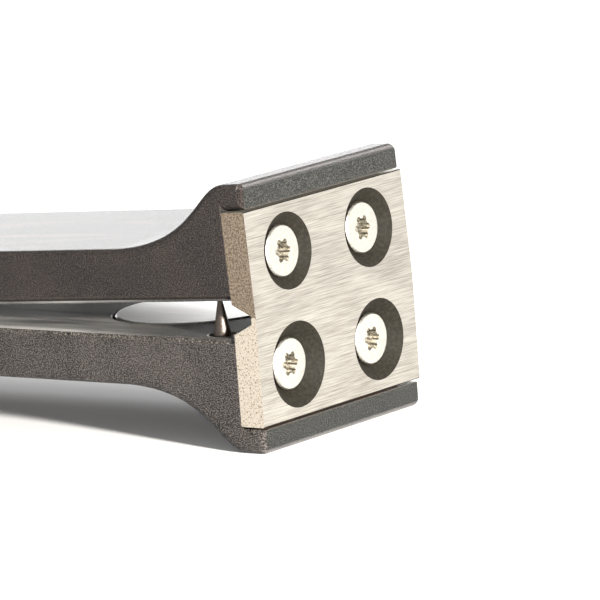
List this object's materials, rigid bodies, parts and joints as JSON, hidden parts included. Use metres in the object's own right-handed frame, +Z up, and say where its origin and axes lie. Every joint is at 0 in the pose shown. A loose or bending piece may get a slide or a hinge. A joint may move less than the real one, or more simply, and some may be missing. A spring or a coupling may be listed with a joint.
{
  "type": "skate sharpener",
  "caption": "Hand-squeezed ice skate edge sharpener: two mirrored arms joined by a bending steel plate, with cutting cones and hone discs in the throat.",
  "frame": {"origin": "centre of the flat under the head, on the surface that the tool rests on", "axes": "X along the tool with the hinge plate facing +X, Y across the tool, Z up"},
  "size_m": [0.1012, 0.0376, 0.0383],
  "materials": {
    "moulding": "near-black moulded plastic with a fine leather-like grain",
    "liner": "dark flat wear strip",
    "plate": "warm grey steel, brushed across the tool, rough-cut edges",
    "screw": "bright zinc-plated steel",
    "insert": "turned brass",
    "disc": "bright nickel plate with a fine abrasive",
    "magnet": "plated magnet",
    "cone": "ground hard metal",
    "sleeve": "turned steel",
    "grub_screw": "blackened steel"
  },
  "bodies": {
    "lower_half": {"lower_body": "moulding", "lower_liner": "liner", "lower_plate_leaf": "plate", "lower_plate_screws": "screw", "lower_screw_inserts": "insert", "lower_disc_magnet": "magnet", "near_cone_sleeve": "sleeve", "near_cone_lock_screw": "grub_screw", "stop_screw": "grub_screw", "stop_screw_insert": "insert"},
    "upper_half": {"upper_body": "moulding", "upper_liner": "liner", "upper_plate_leaf": "plate", "upper_plate_screws": "screw", "upper_screw_inserts": "insert", "upper_disc_magnet": "magnet", "far_cone_sleeve": "sleeve", "far_cone_lock_screw": "grub_screw", "stop_button": "sleeve"},
    "near_cone": {"near_cone": "cone"},
    "far_cone": {"far_cone": "cone"},
    "lower_disc": {"lower_disc": "disc", "lower_disc_backing": "magnet"},
    "upper_disc": {"upper_disc": "disc", "upper_disc_backing": "magnet"}
  },
  "joints": [
    {"name": "jaw", "type": "hinge", "parent": "lower_half", "child": "upper_half", "pos_m": [0.0014, 0, 0.0192], "axis": [0, -1, 0], "range_deg": [-3, 1.2], "stiffness_Nm_per_rad": 20},
    {"name": "near_cone_turn", "type": "hinge", "parent": "lower_half", "child": "near_cone", "pos_m": [-0.00637, -0.01605, 0.01645], "axis": [0, 0, 1], "continuous": true},
    {"name": "far_cone_turn", "type": "hinge", "parent": "upper_half", "child": "far_cone", "pos_m": [-0.00651, 0.01605, 0.02154], "axis": [-0.0523, 0, 0.9986], "continuous": true},
    {"name": "lower_disc_turn", "type": "hinge", "parent": "lower_half", "child": "lower_disc", "pos_m": [-0.02278, 0, 0.01645], "axis": [0, 0, 1], "continuous": true},
    {"name": "upper_disc_turn", "type": "hinge", "parent": "upper_half", "child": "upper_disc", "pos_m": [-0.02289, 0, 0.02068], "axis": [-0.0523, 0, 0.9986], "continuous": true}
  ]
}
